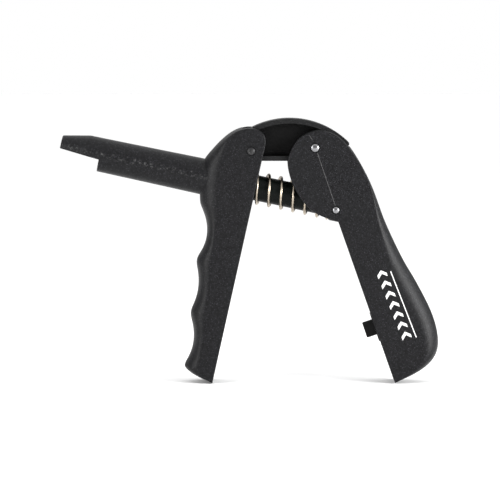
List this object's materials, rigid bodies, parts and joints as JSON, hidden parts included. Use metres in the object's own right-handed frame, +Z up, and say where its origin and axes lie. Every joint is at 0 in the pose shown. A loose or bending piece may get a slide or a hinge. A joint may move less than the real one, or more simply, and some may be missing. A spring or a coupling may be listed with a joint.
{
  "type": "capsule dispensing gun",
  "caption": "Hand-held squeeze gun whose two linked grips push a spring-loaded plunger through a barrel to empty a small capsule held in its nose.",
  "frame": {"origin": "middle of the footprint, on the ground under the ends of the two grips", "axes": "+X from the nose to the rear grip, +Y across the tool, +Z up; the tool stands on the ends of its grips"},
  "size_m": [0.1584, 0.0186, 0.1109],
  "materials": {
    "grip_plastic": "charcoal black, spark-eroded texture",
    "link_plastic": "satin black",
    "rod_plastic": "smooth dark plastic",
    "pin_plastic": "dark",
    "pin_steel": "turned ends",
    "spring_steel": "drawn wire",
    "bumper_rubber": "matte black"
  },
  "bodies": {
    "root": {"front_handle": "grip_plastic", "front_pivot_pin": "pin_plastic", "return_spring": "spring_steel"},
    "plunger": {"plunger_rod": "rod_plastic", "piston": "pin_steel"},
    "grip": {"rear_handle": "grip_plastic", "bridge_pivot_pin": "pin_steel", "plunger_pivot_pin": "pin_steel", "bumper": "bumper_rubber"},
    "link": {"bridge_link": "link_plastic"}
  },
  "joints": [
    {"name": "plunger_slide", "type": "slide", "parent": "root", "child": "plunger", "axis": [-0.9782, 0, 0.2076], "range_m": [0, 0.02], "deforming": ["return_spring"]},
    {"name": "squeeze", "type": "hinge", "parent": "plunger", "child": "grip", "pos_m": [0.03605, 0, 0.07276], "axis": [0, 1, 0], "range_deg": [0, 40], "stiffness_Nm_per_rad": 0.05},
    {"name": "link_swing", "type": "hinge", "parent": "root", "child": "link", "pos_m": [0.00067, 0, 0.09734], "axis": [0, -1, 0], "range_deg": [0, 10.6]}
  ],
  "couplings": [
    {"joint": "plunger_slide", "follows": "squeeze", "m_per_rad": 0.0283},
    {"joint": "link_swing", "follows": "squeeze", "ratio": 0.2576}
  ]
}
